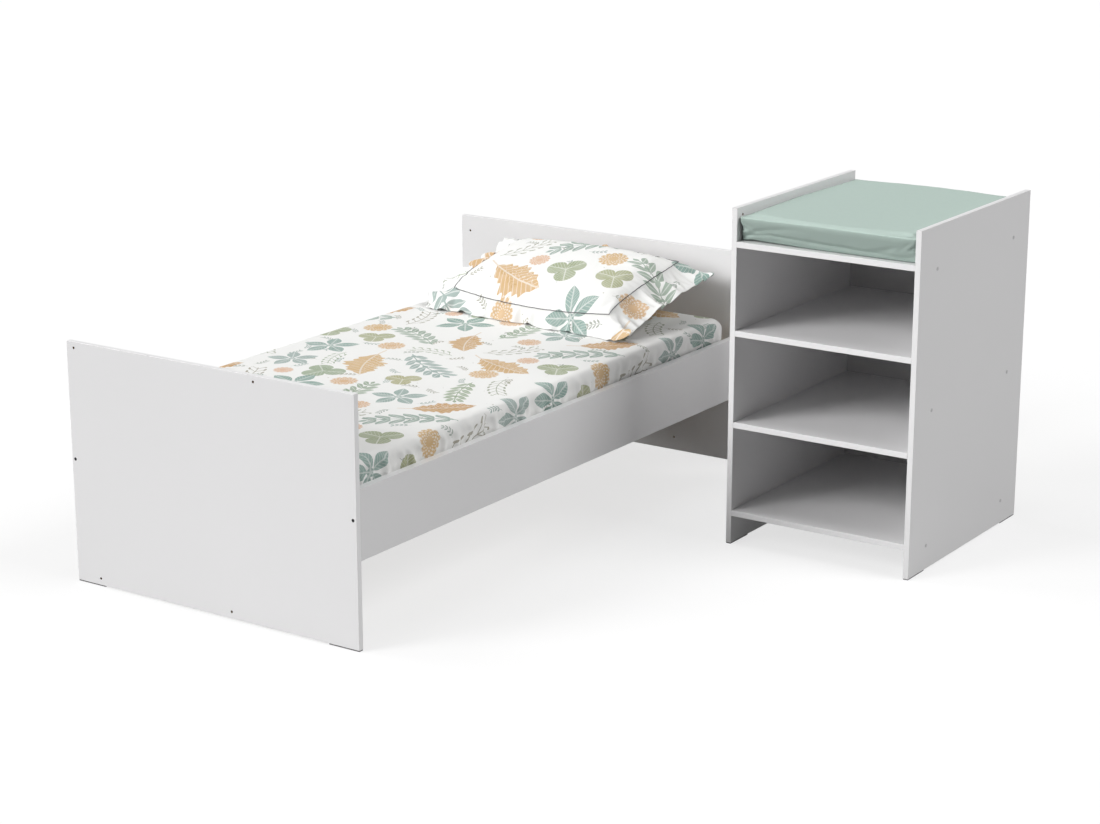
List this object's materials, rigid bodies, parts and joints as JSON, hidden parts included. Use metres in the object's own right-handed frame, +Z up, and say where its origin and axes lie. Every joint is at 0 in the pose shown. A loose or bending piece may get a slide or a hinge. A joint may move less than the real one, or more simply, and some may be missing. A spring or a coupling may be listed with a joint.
{
  "type": "junior bed with separate changing unit",
  "caption": "Low panel bed with slatted base, mattress and pillow, beside a free-standing open-shelf changing unit with a foam changing mat on top.",
  "frame": {"origin": "middle of the whole set's bounding box, on the floor", "axes": "+X from the bed to the changing unit, +Y from the footboard to the headboard, +Z up"},
  "size_m": [1.963, 1.942, 0.95],
  "materials": {
    "board_white": "satin",
    "hardboard": "satin",
    "pine": "matte",
    "beech": "matte",
    "zinc_steel": "satin",
    "dark_steel": "satin",
    "glide_plastic": "matte",
    "cap_plastic": "satin",
    "sheet_print": "matte",
    "pillow_print": "matte",
    "mat_cover": "matte"
  },
  "bodies": {
    "set": {"footboard": "board_white", "headboard": "board_white", "side_rail_left": "board_white", "side_rail_right": "board_white", "ledger_left": "pine", "ledger_right": "pine", "slat_01": "pine", "slat_02": "pine", "slat_03": "pine", "slat_04": "pine", "slat_05": "pine", "slat_06": "pine", "slat_07": "pine", "slat_08": "pine", "slat_09": "pine", "slat_10": "pine", "slat_11": "pine", "slat_12": "pine", "slat_13": "pine", "slat_14": "pine", "rail_bolts": "dark_steel", "cross_nuts": "zinc_steel", "rail_dowels": "beech", "ledger_screws": "zinc_steel", "slat_screws": "zinc_steel", "changer_side_left": "board_white", "changer_side_right": "board_white", "top_shelf": "board_white", "bottom_shelf": "board_white", "back_panel": "hardboard", "cam_bolts": "zinc_steel", "cam_locks": "zinc_steel", "shelf_dowels": "beech", "upper_shelf_pins": "zinc_steel", "lower_shelf_pins": "zinc_steel", "hole_caps": "cap_plastic", "glide_1": "glide_plastic", "glide_2": "glide_plastic", "glide_3": "glide_plastic", "glide_4": "glide_plastic", "glide_5": "glide_plastic", "glide_6": "glide_plastic", "glide_7": "glide_plastic", "glide_8": "glide_plastic"},
    "mattress_body": {"mattress": "sheet_print"},
    "pillow_body": {"pillow": "pillow_print"},
    "upper_shelf_body": {"upper_shelf": "board_white"},
    "lower_shelf_body": {"lower_shelf": "board_white"},
    "mat_body": {"changing_mat": "mat_cover"}
  },
  "joints": [
    {"name": "mattress_lift", "type": "slide", "parent": "set", "child": "mattress_body", "axis": [0, 0, 1], "range_m": [0, 0.3]},
    {"name": "pillow_lift", "type": "slide", "parent": "mattress_body", "child": "pillow_body", "axis": [0, 0, 1], "range_m": [0, 0.3]},
    {"name": "mat_lift", "type": "slide", "parent": "set", "child": "mat_body", "axis": [0, 0, 1], "range_m": [0, 0.3]},
    {"name": "upper_shelf_draw", "type": "slide", "parent": "set", "child": "upper_shelf_body", "axis": [0, -1, 0], "range_m": [0, 0.6]},
    {"name": "lower_shelf_draw", "type": "slide", "parent": "set", "child": "lower_shelf_body", "axis": [0, -1, 0], "range_m": [0, 0.6]}
  ]
}
